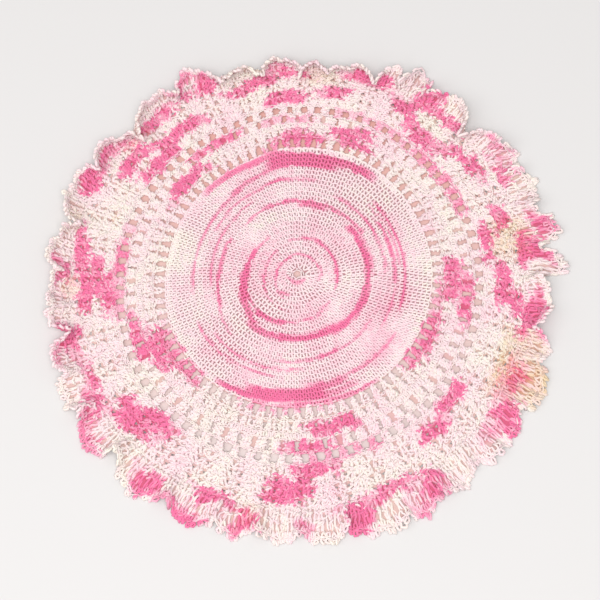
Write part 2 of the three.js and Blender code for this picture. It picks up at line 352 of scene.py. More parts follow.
# In the open rounds and the frill a length fills part of a round or two.
laceRuns = [
    # from, to, near, far, depth
    (350, 366, 75.8, 84.5, 0.9),
    (343, 359, 85, 92, 0.85),
    (359, 363, 84, 90, 0.5),
    (3, 15.5, 98.6, 104.6, 0.95),
    (43, 54, 99.5, 104.8, 0.9),
    (45, 56, 103.5, 109.5, 0.9),
    (40.5, 47, 103.5, 109, 0.7),
    (34, 41, 109, 114.5, 0.9),
    (29.5, 35.5, 110.5, 118, 0.95),
    (54.8, 62, 110, 119, 0.95),
    (22, 47, 92, 98.4, 0.75),
    (50, 80, 92.5, 98.6, 0.4),
    (351, 363.5, 104.5, 113, 0.95),
    (349, 354.5, 112, 120.5, 0.9),
    (2.5, 9, 120, 133, 1),
    (5, 11, 118.5, 126, 0.85),
    (12.5, 19, 109, 117, 0.85),
    (10.5, 15.5, 129, 134.5, 0.9),
    (24.5, 30, 122.5, 134, 1),
    (32, 35, 122, 135, 0.6),
    (43.5, 56, 119, 125.5, 0.95),
    (51.5, 56.5, 121, 136, 1),
    (62, 69, 81, 90, 0.9),
    (67, 77, 77, 85.3, 0.95),
    (60, 74, 72.5, 78, 0.85),
    (79, 99, 69, 77, 0.85),
    (85, 94, 76.5, 80.5, 0.7),
    (98, 105, 67.5, 73, 0.6),
    (88, 99.5, 99.5, 107.5, 0.95),
    (84, 104, 86, 91, 0.4),
    (74.5, 82, 104, 112.5, 0.95),
    (82, 88.5, 104.5, 109, 0.5),
    (103, 111, 110, 115.5, 0.85),
    (96.5, 105, 112, 119, 0.95),
    (86.5, 96, 117, 123.5, 0.8),
    (91.5, 97, 121, 130, 0.6),
    (96.8, 99.4, 118.5, 124, 0.85),
    (65.5, 76, 119.5, 130, 1),
    (76, 80, 122, 127, 0.35),
    (112, 117, 117.5, 133, 0.9),
    (118, 122.5, 129.5, 135, 0.8),
    (111, 122, 86, 92, 0.9),
    (120, 131, 86.5, 92, 0.8),
    (128, 147, 76.5, 85.5, 0.95),
    (146, 150, 77, 84, 0.35),
    (131, 147, 98, 104.8, 0.9),
    (119.5, 137, 104, 110.5, 0.9),
    (137.5, 150, 108.5, 115.8, 0.9),
    (125.5, 129.2, 116, 124.5, 0.9),
    (130.5, 134.5, 116, 123.5, 1),
    (134, 141, 117.5, 121.5, 0.6),
    (120, 123.2, 120, 133, 0.9),
    (143.5, 150, 124, 131, 0.75),
    (140.5, 145, 121, 126, 0.6),
    (151, 157.5, 119.5, 133, 1),
    (165, 171.5, 117.5, 121.8, 0.8),
    (169.5, 180, 113, 120.5, 0.9),
    (177, 183, 123, 133, 0.85),
    (174.5, 181, 104.5, 110, 0.85),
    (169.5, 181, 92.5, 99, 0.75),
    (163, 170, 93, 98.4, 0.4),
    (179.5, 193, 98.6, 105, 0.9),
    (179.5, 187.5, 104.5, 113, 0.9),
    (181, 191, 110, 116.8, 0.95),
    (193.5, 199.5, 118, 134, 1),
    (200, 205, 118.5, 125, 0.4),
    (205.3, 211.5, 116, 120.5, 0.85),
    (210, 216.5, 118, 127, 0.85),
    (214.5, 217.5, 125, 135, 0.85),
    (216, 223, 132.5, 136.8, 0.7),
    (217.5, 225.5, 104.5, 119.5, 0.95),
    (221, 230.5, 104, 116.5, 0.75),
    (224, 233.5, 98.6, 105.5, 0.95),
    (231, 234.5, 103, 107.5, 0.8),
    (195.5, 211, 85.5, 92, 0.9),
    (203, 218, 76, 85.5, 0.9),
    (199, 204, 80, 85, 0.4),
    (202, 230, 68.6, 76.3, 0.8),
    (250, 272, 67.5, 72.5, 0.55),
    (233, 238.5, 125, 134, 0.95),
    (181, 194, 93, 98.5, 0.5),
    (240, 250, 132.5, 136.8, 0.95),
    (246, 256, 119, 127, 0.9),
    (255.5, 261, 125.5, 134.5, 0.95),
    (262, 274, 105.5, 116, 0.9),
    (263, 271, 110, 119, 0.95),
    (268.5, 281.5, 98.6, 105, 0.9),
    (265.5, 281, 86, 92, 0.9),
    (281, 285, 87, 91, 0.35),
    (275, 291, 76.5, 84.5, 0.95),
    (271, 295, 92.3, 98.2, 0.6),
    (280.5, 286, 122, 136.8, 1),
    (286.5, 298, 117.5, 125.5, 0.85),
    (270.5, 273.5, 129, 136.8, 0.7),
    (295.5, 299, 127, 136.8, 0.75),
    (277, 289, 68.5, 71, 0.3),
    (299.5, 303, 119, 136.8, 1),
    (303, 305, 127, 134, 0.5),
    (305.5, 314.5, 103.5, 110.5, 0.95),
    (314, 325, 98.5, 105.5, 0.95),
    (320.5, 326.5, 123, 135.5, 1),
    (317, 320.5, 123, 130, 0.35),
    (326.5, 338, 118, 129, 0.35),
    (329.5, 334.5, 121, 127.5, 0.8),
    (344.5, 351.5, 119.5, 134.5, 1),
    (350, 355, 123, 132, 0.85),
    (319, 344, 69, 76.3, 0.85),
    (344, 359, 70, 75, 0.55),
    (325, 335, 75.5, 79.5, 0.6),
]

# The disc is blush nearly all over; it is whiter here.
palerParts = [
    # from, to, near, far, depth
    (140, 215, 50, 70, 1),
    (-5, 45, 60, 70, 0.8),
    (36, 62, 48, 68, 1),
    (60, 130, 30, 36, 0.7),
    (300, 360, 24, 30, 0.7),
]

# Where the white has yellowed with age.
stains = [
    # from, to, near, far, depth
    (327, 345, 112, 134, 0.55),
    (329, 338, 112, 137, 0.85),
    (5, 15.5, 104, 127, 0.6),
    (160.8, 162.8, 103.3, 105.7, 0.9),
    (163, 168, 122, 133, 0.5),
    (80, 88, 113, 127, 0.35),
    (134, 142, 117, 121.5, 0.5),
    (181, 186, 117, 127, 0.5),
    (257, 262, 121, 134, 0.35),
]

# How the colours run into each other. Edges are soft over these degrees, millimetres or rounds.
blending = {
    "laceEdge": (3.2, 1.8),
    "roundsEdge": 0.45,
    "endsEdge": 9,
    "endsOverrun": 3,
    "palerEdge": (12, 6),
    "stainEdge": (4, 4),
    "sheetStainEdge": (3, 3),
    "discBase": 0.13,  # the disc's own blush
    "discBaseEnd": 64,
    "discBaseEdge": 8,
    "wander": (1.0, 0.8),  # how far the stretches' edges wander, in degrees and along
    "uneven": 0.5,  # a strand may take up so much less of the dye
    "unevenStain": 0.7,
}
# Waves in a round of the edges' wandering, and how much they turn with each millimetre.
wanderWaves = [(61, 0.31), (37, -0.47)]
swellWaves = [(53, 0.61), (29, 0.83)]


def soften(inside, width):
    share = np.clip(inside / width + 0.5, 0, 1)
    return share * share * (3 - 2 * share)


def depthIn(areas, angle, along, edge):
    angleEdge, alongEdge = edge
    most = np.zeros(angle.shape)
    for start, end, near, far, depth in areas:
        middle, half = (start + end) / 2, (end - start) / 2
        inside = soften(half - np.abs(turnFrom(angle, middle)), angleEdge) * soften(
            np.minimum(along - near, far - along), alongEdge)
        most = np.maximum(most, depth * inside)
    return most


def dyeAt(angle, along):
    wander, swell = (
        sum(np.sin(waves * np.radians(angle) + turning * along) for waves, turning in both)
        for both in (wanderWaves, swellWaves))
    most = depthIn(laceRuns, angle + blending["wander"][0] * wander,
                   along + blending["wander"][1] * swell, blending["laceEdge"])
    inDisc = soften(blending["discBaseEnd"] - along, blending["discBaseEdge"])
    paler = depthIn(palerParts, angle, along, blending["palerEdge"])
    most = np.maximum(most, blending["discBase"] * inDisc * (1 - paler))
    rounds = along / work["rowHeight"]
    for start, end, startRound, endRound, thick, depth in discRuns:
        middle, half = (start + end) / 2, (end - start) / 2
        fromMiddle = turnFrom(angle, middle)
        centre = mix(startRound, endRound, (fromMiddle + half) / (2 * half))
        ends = soften(half + blending["endsOverrun"] - np.abs(fromMiddle), blending["endsEdge"])
        inside = soften(thick / 2 - np.abs(rounds - centre), blending["roundsEdge"])
        most = np.maximum(most, depth * (ends * inside))
    return most


# How unevenly the yarn is worked, in millimetres unless it says otherwise.
handwork = {
    "dyeAround": 1.5,  # each strand's colour is taken this far from where it lies
    "dyeAlong": 0.8,
    "lift": 0.16,
    "bend": 0.3,
    "bendTurns": 1.5,
    "bendUp": 0.8,  # of the sideways bend
    "stitch": 0.1,
    "post": 0.34,
    "leastCurve": 4,  # nearer the ring than this a degree counts as no shorter
    "leastStitchCurve": 3,
}


# Threads are kept as rows of points along a strand: angle, along and lift, with the thread's half
# thickness in millimetres. Their colour is taken where they lie.
def newThreads():
    return {"points": [], "joins": [], "thick": [], "dye": [], "stain": [], "tone": [], "count": 0}


def layThreads(threads, angle, along, lift, thick, untidy=1.0):
    angle, along, lift, thick = np.broadcast_arrays(angle, along, lift, thick)
    strands, each = angle.shape

    def uneven(key):
        return draw.normal(0, handwork[key] * untidy, (strands, 1))

    meanAlong = along.mean(axis=1, keepdims=True)
    perDegree = math.pi / 180 * np.maximum(meanAlong, handwork["leastCurve"])
    colourAngle = angle + uneven("dyeAround") / perDegree
    colourAlong = along + uneven("dyeAlong")
    lift = lift + uneven("lift")
    bend = handwork["bend"] * untidy * np.sin(
        np.linspace(0, handwork["bendTurns"] * 2 * math.pi, each)
        + draw.uniform(0, 2 * math.pi, (3, strands, 1)))
    angle, along = angle + bend[0] / perDegree, along + bend[1]
    lift = lift + handwork["bendUp"] * bend[2]
    placed = onCloth(angle, along, lift).reshape(-1, 3)
    placed[:, 2] = np.maximum(placed[:, 2], ringAt[2] + (np.ravel(thick) + work["offTable"]) * mm)
    threads["points"].append(placed)
    numbers = threads["count"] + np.arange(strands * each).reshape(strands, each)
    threads["joins"].append(np.stack([numbers[:, :-1], numbers[:, 1:]], axis=-1).reshape(-1, 2))
    threads["thick"].append(np.ravel(thick) * mm)
    taken = 1 - blending["uneven"] * untidy * draw.random((strands, 1)) ** 2
    threads["dye"].append((dyeAt(colourAngle, colourAlong) * taken).ravel())
    aged = depthIn(stains, colourAngle, colourAlong, blending["stainEdge"])
    cleaner = 1 - blending["unevenStain"] * draw.random((strands, 1))
    threads["stain"].append((aged * cleaner).ravel())
    threads["tone"].append(np.repeat(draw.random(strands), each))
    threads["count"] += strands * each


def asColumns(*values):
    return [np.asarray(v, dtype=float)[:, None] for v in np.broadcast_arrays(*values)]


# One stitch at many places, drawn as one shape or more.
def layStitches(threads, shapes, angle, along, width, height, slant=0.0, untidy=1.0):
    angle, along, width, height = asColumns(angle, along, width, height)
    perDegree = math.pi / 180 * np.maximum(along, handwork["leastStitchCurve"])
    for shape in shapes:
        across, up, lift, thick = np.array(shape, dtype=float).T
        wobble = draw.normal(0, handwork["stitch"] * untidy, (2, len(angle), 1))
        layThreads(
            threads,
            angle + across * width + (slant * up + wobble[0]) / perDegree,
            along + up * height + wobble[1],
            lift, thick, untidy)


# A tall stitch is two strands twisted round each other, from one place to another, and the yarn
# wound round it on the way up.
postShape = {
    "firstTurn": 0.25,
    "endPower": 3,  # how near its ends it dips and thins
    "endThinning": 0.25,
    "wrapAcross": np.array([-0.9, -0.3, 0.3, 0.9]),
    "wrapLift": np.array([0.0, 0.65, 0.65, 0.0]),
    "wrapSlant": (-0.6, 0.6),
    "wrapUneven": 0.07,
    "wrapThick": 0.95,
}


def layPosts(threads, startAngle, startAlong, endAngle, endAlong, post):
    startAngle, startAlong, endAngle, endAlong = asColumns(
        startAngle, startAlong, endAngle, endAlong)
    share = np.linspace(0, 1, post["points"])
    wobble = draw.normal(0, handwork["post"], (3, len(startAngle), 1))
    along = mix(startAlong, endAlong, share) + wobble[1]
    perDegree = math.pi / 180 * along
    middle = mix(startAngle, endAngle, share) + mix(wobble[0], wobble[2], share) / perDegree
    ends = np.abs(2 * share - 1) ** postShape["endPower"]
    thick = post["thick"] * (1 - postShape["endThinning"] * ends)
    for strand in (0, 1):
        twist = math.pi * (post["turns"] * 2 * share + strand + postShape["firstTurn"])
        across = post["spread"] * np.cos(twist)
        lift = post["lift"] + post["spread"] * np.sin(twist) - post["dip"] * ends
        layThreads(threads, middle + across / perDegree, along, lift, thick)

    perDegree = perDegree[:, :1]
    for place in post["wraps"]:
        share = place + draw.normal(0, postShape["wrapUneven"], startAlong.shape)
        angle = mix(startAngle, endAngle, share) + wobble[0] / perDegree
        slant = draw.choice(postShape["wrapSlant"], share.shape)
        layThreads(threads, angle + postShape["wrapAcross"] / perDegree,
                   mix(startAlong, endAlong, share) + slant * postShape["wrapAcross"],
                   post["lift"] + postShape["wrapLift"], postShape["wrapThick"] * post["thick"])


# Adds nodes to a tree. An input is a value, a socket, or a node, whose first output it takes.
def nodeSetter(tree):
    def add(kind, inputs=None, **settings):
        node = tree.nodes.new(kind)
        for name, value in settings.items():
            setattr(node, name, value)
        for name, value in (inputs or {}).items():
            if isinstance(value, bpy.types.Node):
                value = value.outputs[0]
            if isinstance(value, bpy.types.NodeSocket):
                tree.links.new(value, node.inputs[name])
            else:
                node.inputs[name].default_value = value
        return node
    return add


# The node tree that sweeps each strand into a thread.
def threadTree():
    tree = bpy.data.node_groups.new("sweep thread", "GeometryNodeTree")
    for name, kind in (("Geometry", "Geometry"), ("Sides", "Int"), ("Thread scale", "Float"),
                       ("Material", "Material")):
        tree.interface.new_socket(name, in_out="INPUT", socket_type="NodeSocket" + kind)
    tree.interface.new_socket("Geometry", in_out="OUTPUT", socket_type="NodeSocketGeometry")
    add = nodeSetter(tree)
    given = add("NodeGroupInput").outputs
    strand = add("GeometryNodeMeshToCurve", {"Mesh": given["Geometry"]})
    thick = add("GeometryNodeInputNamedAttribute", {"Name": "thick"})
    scaled = add("ShaderNodeMath", {0: thick, 1: given["Thread scale"]}, operation="MULTIPLY")
    length = add("GeometryNodeSplineParameter").outputs["Length"]
    measured = add("GeometryNodeStoreNamedAttribute",
                   {"Geometry": strand, "Name": "run", "Value": length})
    circle = add("GeometryNodeCurvePrimitiveCircle",
                 {"Resolution": given["Sides"], "Radius": 1.0}, mode="RADIUS")
    place = add("GeometryNodeInputPosition")
    profile = add("GeometryNodeStoreNamedAttribute", data_type="FLOAT_VECTOR",
                  inputs={"Geometry": circle, "Name": "around", "Value": place})
    swept = add("GeometryNodeCurveToMesh", {"Curve": measured, "Profile Curve": profile,
                                            "Scale": scaled, "Fill Caps": True})
    smooth = add("GeometryNodeSetShadeSmooth", {"Geometry": swept})
    real = add("GeometryNodeRealizeInstances", {"Geometry": smooth})
    finished = add("GeometryNodeSetMaterial", {"Geometry": real, "Material": given["Material"]})
    add("NodeGroupOutput", {"Geometry": finished})
    return tree


def storeValues(mesh, key, values):
    stored = mesh.attributes.new(key, "FLOAT", "POINT")
    stored.data.foreach_set("value", values.astype(np.float32))


def sweepThreads(name, threads, material, sides=4, scale=1.0):
    mesh = bpy.data.meshes.new(name)
    points = np.concatenate(threads["points"])
    joins = np.concatenate(threads["joins"])
    mesh.vertices.add(len(points))
    mesh.vertices.foreach_set("co", points.ravel())
    mesh.edges.add(len(joins))
    mesh.edges.foreach_set("vertices", joins.ravel().astype(np.int32))
    for key in ("thick", "dye", "stain", "tone"):
        storeValues(mesh, key, np.concatenate(threads[key]))
    piece = linked(name, mesh)
    modifier = piece.modifiers.new("sweep thread", "NODES")
    modifier.node_group = sweepTree
    sockets = {item.name: item.identifier for item in sweepTree.interface.items_tree
               if item.in_out == "INPUT"}
    modifier[sockets["Sides"]] = sides
    modifier[sockets["Thread scale"]] = scale
    modifier[sockets["Material"]] = material
    return plainMesh(piece, name)


def plainMesh(piece, name):
    graph = bpy.context.evaluated_depsgraph_get()
    made = bpy.data.meshes.new_from_object(
        piece.evaluated_get(graph), preserve_all_data_layers=True, depsgraph=graph)
    piece.modifiers.clear()
    piece.data = made
    made.name = name
    print(f"{name}: {sum(len(p.vertices) - 2 for p in made.polygons)} triangles")
    return piece


# Mercerised crochet cotton, size 10: three plies, a soft sheen and a little fuzz. The dye goes from
# white through pale pink to strong pink. The ply twist is drawn twice as coarse as it is, to show.
yarn = {
    "white": "#fdf5ea",
    "blush": "#ffe9ec",
    "rose": "#feb8cf",
    "strong": "#f880ae",
    "aged": "#f2e2b8",
    "stops": (0.05, 0.26, 0.62, 1.0),  # how deep the dye is at white, blush, rose and strong
    "washes": 38,  # a wash of blush is about 25 mm broad
    "washLevel": (0.55, -0.16),
    "strandTone": 0.16,
    "plyLength": 2.4 * mm,
    "plies": 3,
    "fuzz": 2600,  # hairs about 0.4 mm apart
    "fuzzShare": 1.2,  # of the height of a ply
    "relief": 0.05 * mm,
    "reliefStrength": 0.6,
    "roughness": 0.78,
    "sheen": 0.25,
    "sheenRoughness": 0.5,
    "specular": 0.3,
    "through": 0.2,
}


def cottonMaterial(name, shade):
    material = bpy.data.materials.new(name)
    material.use_nodes = True
    tree = material.node_tree
    tree.nodes.clear()
    add = nodeSetter(tree)
    dye, tone, stain, run = (add("ShaderNodeAttribute", attribute_name=key).outputs["Fac"]
                             for key in ("dye", "tone", "stain", "run"))
    around = add("ShaderNodeAttribute", attribute_name="around").outputs["Vector"]
    place = add("ShaderNodeTexCoord").outputs["Object"]

    # uneven dye: broad washes of blush over the white, and each strand a little off its neighbour
    washes = add("ShaderNodeTexNoise", {"Vector": place, "Scale": yarn["washes"], "Detail": 2})
    amount, least = yarn["washLevel"]
    paleness = add("ShaderNodeMath", {0: washes, 1: amount, 2: least}, operation="MULTIPLY_ADD")
    uneven = add("ShaderNodeMath", {0: tone, 1: yarn["strandTone"], 2: paleness},
                 operation="MULTIPLY_ADD")
    level = add("ShaderNodeMath", {0: dye, 1: uneven}, operation="ADD", use_clamp=True)
    ramp = add("ShaderNodeValToRGB", {"Fac": level})
    stops = ramp.color_ramp.elements
    first, *between, last = zip(yarn["stops"], ("white", "blush", "rose", "strong"))
    for stop, (position, key) in zip(stops, (first, last)):
        stop.position, stop.color = position, toLinear(yarn[key])
    for position, key in between:
        stops.new(position).color = toLinear(yarn[key])
    aged = add("ShaderNodeMix", {0: stain, 6: ramp, 7: toLinear(yarn["aged"])},
               data_type="RGBA", blend_type="MULTIPLY")
    shaded = add("ShaderNodeMix", {0: 1.0, 6: aged.outputs[2], 7: toLinear(shade)},
                 data_type="RGBA", blend_type="MULTIPLY")
    colour = shaded.outputs[2]

    # the plies are wound round the thread, and fine hairs lie over them
    parts = add("ShaderNodeSeparateXYZ", {"Vector": around})
    turned = add("ShaderNodeMath", {0: parts.outputs["Y"], 1: parts.outputs["X"]},
                 operation="ARCTAN2")
    ply = add("ShaderNodeMath", {0: turned, 1: yarn["plies"]}, operation="MULTIPLY")
    perLength = 2 * math.pi / (yarn["plyLength"] / yarn["plies"])
    wound = add("ShaderNodeMath", {0: run, 1: perLength, 2: ply}, operation="MULTIPLY_ADD")
    ridge = add("ShaderNodeMath", {0: wound}, operation="SINE")
    fuzz = add("ShaderNodeTexNoise", {"Vector": place, "Scale": yarn["fuzz"], "Detail": 2})
    rough = add("ShaderNodeMath", {0: fuzz, 1: yarn["fuzzShare"], 2: ridge},
                operation="MULTIPLY_ADD")
    bump = add("ShaderNodeBump", {"Height": rough, "Distance": yarn["relief"],
                                  "Strength": yarn["reliefStrength"]})

    shader = add("ShaderNodeBsdfPrincipled", {
        "Base Color": colour,
        "Roughness": yarn["roughness"],
        "Sheen Weight": yarn["sheen"],
        "Sheen Roughness": yarn["sheenRoughness"],
        "Specular IOR Level": yarn["specular"],
        "Normal": bump,
    })
    # light that soaks through the thread softens its shaded side
    through = add("ShaderNodeBsdfTranslucent", {"Color": colour, "Normal": bump})
    soft = add("ShaderNodeMixShader", {0: yarn["through"], 1: shader, 2: through})
    add("ShaderNodeOutputMaterial", {"Surface": soft})
    return material


# In the depth between stitches little light falls, so the cloth there is made darker.
shades = {"stitches": "#ffffff", "between": "#dfc9c4", "deep": "#c4a0a4"}
cotton = cottonMaterial("mercerised crochet cotton", shades["stitches"])
paintedShadeOpenCotton = cottonMaterial("crochet cotton painted in shade between open stitches", shades["between"])
paintedShadeCloseCotton = cottonMaterial("crochet cotton painted in deep shade between close stitches", shades["deep"])
sweepTree = threadTree()


# The shapes of the stitches: across in stitch widths, up in stitch heights, the rest in mm.
chainLink = [
    # across, up, lift, thick
    (-0.62, 0.0, -0.2, 0.3),
    (-0.25, 0.2, 0.3, 0.4),
    (0.2, 0.16, 0.4, 0.4),
    (0.55, 0.0, 0.05, 0.32),
]
chainStitch = (chainLink, [(across, -up, lift, thick) for across, up, lift, thick in chainLink])
leftLeg = [
    (-0.33, 0.98, 0.0, 0.5),
    (-0.27, 0.5, 0.4, 0.66),
    (-0.17, 0.02, 0.05, 0.62),
]
leftOfLoop = [
    (-0.52, 0.84, 0.0, 0.4),
    (-0.22, 1.04, 0.42, 0.52),
]
legs, topLoop = (left + [(-across, *rest) for across, *rest in reversed(left)]
                 for left in (leftLeg, leftOfLoop))
singleCrochet = (legs, topLoop)
picot = [
    (-0.15, -0.1, -0.1, 0.6),
    (-0.35, 0.45, 0.5, 0.72),
    (-0.2, 0.9, 0.3, 0.72),
    (0.1, 1.0, -0.3, 0.72),
    (0.35, 0.5, -0.4, 0.72),
    (0.1, 0.0, 0.3, 0.6),
]


def repeatAngles(count, setting=0.0):
    return 360 / count * (np.arange(count) + setting)


# The close disc: single crochet worked in a spiral. Each stitch stands on one of the round before,
# and five or six of them in a round have two stitches worked on them.
disc = {
    "rounds": 30,
    "ringChains": 6,
    "ringAlong": (3.1, 2.5),  # of the two sides of its chain
    "ringHeight": 2,
    "firstStitches": 10,
    "stitchesPerRound": 5.2,
    "widest": 60,  # degrees
    "slant": 0.3,
    "easing": 6,
    "untidyRing": 0.8,
    "untidy": 0.3,
}


def layDisc():
    threads = newThreads()
    row = work["rowHeight"]
    for shape, along in zip(chainStitch, disc["ringAlong"]):
        layStitches(threads, [shape], repeatAngles(disc["ringChains"]), along,
                    360 / disc["ringChains"], disc["ringHeight"], untidy=disc["untidyRing"])
    angles = repeatAngles(disc["firstStitches"])
    for turn in range(1, disc["rounds"]):
        widths = np.mod(np.roll(angles, -1) - np.roll(angles, 1), 360) / 2
        climb = (360 - np.mod(angles, 360)) / 360 * (turn < disc["rounds"] - 1)
        layStitches(threads, singleCrochet, angles, row * (turn + climb),
                    np.minimum(widths, disc["widest"]), row, disc["slant"], disc["untidy"])
        more = round(disc["stitchesPerRound"] * (turn + 2)) - len(angles)
        wanted = (np.arange(more) + draw.random(more)) * 360 / more
        doubled = np.unique(np.abs(turnFrom(angles, wanted[:, None])).argmin(axis=1))
        angles[doubled] -= widths[doubled] / 4
        angles = np.sort(np.concatenate([angles, angles[doubled] + widths[doubled] / 2]))
        for _ in range(disc["easing"]):
            before = np.concatenate([angles[-1:] - 360, angles[:-1]])
            after = np.concatenate([angles[1:], angles[:1] + 360])
            angles = mix(angles, (before + after) / 2, 0.5)
    return sweepThreads("discStitches", threads, cotton)


# The open rounds. A row is one round of tall stitches: where it starts and ends, how far round the
# repeat it is set, and where in the repeat each stitch stands and leans to.
openRounds = [
    # start, end, setting, stands, leans
    (68.3, 75.2, 0.5, (-0.05, 0.05), (-0.21, 0.21)),
    (75.8, 81.6, 0.5, (-0.2, 0, 0.2), (-0.34, 0, 0.34)),
    (85.0, 91.5, 0, (-0.19, -0.06, 0.06, 0.19), (-0.25, -0.08, 0.08, 0.25)),
    (92.2, 98.2, 0.5, (-0.11, 0, 0.12), (-0.16, 0.02, 0.17)),
]
chainRounds = [
    # along, links in a repeat
    (75.6, 3),
    (82, 3),
    (85, 3),
    (92, 4),
    (98, 4),
    (99.2, 4),
]
openWork = {
    "repeats": 78,
    "splitAt": 83,  # rounds nearer the ring than this are one piece, the others another
    "chainHeight": 2.6,
    "closeRound": (82.2, 3),  # along, stitches in a repeat
    "threadScales": (1.08, 1.12),
}
tallStitch = {"points": 7, "turns": 1.5, "spread": 0.5, "thick": 0.6, "lift": 0.1, "dip": 0.3,
              "wraps": (0.35, 0.75)}


def layOpenRounds():
    inner, outer = newThreads(), newThreads()
    repeats, high = openWork["repeats"], openWork["chainHeight"]
    pitch = 360 / repeats
    for start, end, setting, stands, leans in openRounds:
        threads = inner if end < openWork["splitAt"] else outer
        middle = repeatAngles(repeats, setting)
        for stand, lean in zip(stands, leans):
            layPosts(threads, middle + stand * pitch, start, middle + lean * pitch, end, tallStitch)
    for along, links in chainRounds:
        threads = inner if along < openWork["splitAt"] else outer
        layStitches(threads, chainStitch, repeatAngles(repeats * links), along, pitch / links, high)
    along, each = openWork["closeRound"]
    layStitches(inner, [legs], repeatAngles(repeats * each, 0.5), along, pitch / each, high)
    return [sweepThreads(name, threads, cotton, scale=scale) for name, threads, scale in zip(
        ("innerOpenRounds", "outerOpenRounds"), (inner, outer), openWork["threadScales"])]


# Rounds of shells: a fan of tall stitches worked into the fan below, and between the fans a narrow
# pair of stitches. Widths are in repeats.
shells = {
    "count": 39,
    "rounds": 4,
    "start": 98.9,
    "height": 5.55,
    "fan": 7,
    "foot": 0.17,
    "footBelow": 0.3,
    "spread": 0.36,
    "rounding": 0.7,  # the middle of a fan's edge stands this much higher
    "topBelow": 0.2,
    "topSize": (0.115, 1.2),
    "pair": 0.07,
    "pairFoot": 0.6,  # of its width above
    "pairAbove": 0.2,
    "threadScale": 1.14,
}
shellStitch = {**tallStitch, "spread": 0.52, "dip": 0.4, "wraps": (0.35, 0.8)}


def layShells():
    inner, outer = newThreads(), newThreads()
    pitch = 360 / shells["count"]
    middle = repeatAngles(shells["count"])
    topWidth, topHeight = shells["topSize"]
    for turn in range(shells["rounds"]):
        threads = inner if turn < shells["rounds"] / 2 else outer
        start = shells["start"] + shells["height"] * turn
        end = start + shells["height"]
        for stitch in range(shells["fan"]):
            share = 2 * stitch / (shells["fan"] - 1) - 1
            top = end + shells["rounding"] * (1 - share * share) - shells["topBelow"]
            angle = middle + shells["spread"] * share * pitch
            layPosts(threads, middle + shells["foot"] * share * pitch, start - shells["footBelow"],
                     angle, top, shellStitch)
            layStitches(threads, [chainLink], angle, top, topWidth * pitch, topHeight)
        for side in (-1, 1):
            aside = side * shells["pair"] * pitch
            layPosts(threads, middle + pitch / 2 + shells["pairFoot"] * aside, start,
                     middle + pitch / 2 + aside, end + shells["pairAbove"], shellStitch)
    return [sweepThreads(name, threads, cotton, scale=shells["threadScale"])
            for name, threads in (("shellsInner", inner), ("shellsOuter", outer))]


# The frill: long stitches on each shell, close single crochet on their tops, and small picots.
frill = {
    "perShell": 11,
    "start": 120.8,
    "end": 132.1,
    "uneven": 0.12,
    "overlap": 0.2,
    "rowHeight": 2.0,
    "chainSize": (1.3, 2.6),  # in stitch widths and millimetres
    "picotsPerShell": 13,
    "picotsAbove": 2.4,
    "picotUneven": 0.2,
    "picotHeight": (0.9, 1.9),
    "picotWidth": (0.6, 0.9),
    "picotSlant": 0.3,
    "picotUntidy": 0.6,
    "edgeSides": 5,
}
longStitch = {**tallStitch, "points": 8, "spread": 0.38, "thick": 0.7, "lift": 0.05, "dip": 0.2,
              "wraps": (0.25, 0.6)}


def layFrill():
    count = shells["count"] * frill["perShell"]
    width, row = 360 / count, frill["rowHeight"]
    angles = repeatAngles(count, 0.5)
    threads = newThreads()
    layPosts(threads, angles, frill["start"], angles + draw.normal(0, frill["uneven"], count),
             frill["end"], longStitch)
    layStitches(threads, chainStitch, angles, frill["start"] + frill["overlap"], width, row)
    stitches = sweepThreads("frillStitches", threads, cotton)

    edge = newThreads()
    layStitches(edge, singleCrochet, angles, frill["end"] - frill["overlap"], width, row)
    chainWidth, chainHeight = frill["chainSize"]
    layStitches(edge, chainStitch, angles, frill["end"] + row, chainWidth * width, chainHeight)
    picots = repeatAngles(shells["count"] * frill["picotsPerShell"])
    picots += draw.normal(0, frill["picotUneven"], len(picots))
    tall = draw.uniform(*frill["picotHeight"], len(picots))
    wide = draw.uniform(*frill["picotWidth"], len(picots))
    slant = draw.normal(0, frill["picotSlant"], (len(picots), 1))
    layStitches(edge, [picot], picots, frill["end"] + frill["picotsAbove"], wide, tall, slant,
                frill["picotUntidy"])
    return [stitches, sweepThreads("picotEdge", edge, cotton, frill["edgeSides"])]


# The cloth between the stitches: a thin sheet that follows the form, open where the lace is open,
# and painted darker than the yarn as the shade between the stitches.
# One repeat is cut out flat, in degrees and millimetres along, and set round once for each shell.
ground = {
    "thickness": 0.5,
    "lift": -0.35,
    "end": 133.5,
    "columns": 11,
    "discRings": 16,
    "discRingsEnd": 68,
    "openStart": 69.2,
    "openStep": 1.6,
    "frillRings": 9,
    "clearance": 0.7,  # no grid point is nearer than this to a hole's edge
    "closest": 1e-5,
    "welding": 1000,  # points of two repeats are one where they agree to a thousandth
    "tone": 0.5,
}
groundHoles = [
    # repeats in a round, where the first stands, corners: across in repeats, along
    (78, 0, [(-0.37, 69.1), (0.37, 69.1), (0.3, 72.6), (0, 74.8), (-0.3, 72.6)]),
    (78, 0, [(-0.14, 77.4), (0.14, 77.4), (0, 80.8)]),
    (78, 0.5, [(-0.2, 86.0), (0.2, 86.0), (0.17, 91.2), (-0.17, 91.2)]),
    (78, 0, [(-0.4, 92.6), (0.4, 92.6), (0.42, 95.2), (0.38, 97.7), (-0.38, 97.7),
             (-0.42, 95.2)]),
]
for along in (105.6, 111.4, 117.0):  # beside each shell but the first
    groundHoles += [
        (39, 0.33, [(-0.07, along), (0.06, along + 0.6), (-0.03, along + 2)]),
        (39, 0.67, [(0.07, along), (0.03, along + 2), (-0.06, along + 0.6)]),
    ]


def holesIn(start, pitch):
    found = []
    for count, first, corners in groundHoles:
        width = 360 / count
        for number in range(-1, count // shells["count"] + 1):
            middle = (number + first) * width
            shape = [(middle + across * width, along) for across, along in corners]
            if start < middle < start + pitch:
                found.append(np.array(shape))
    return found


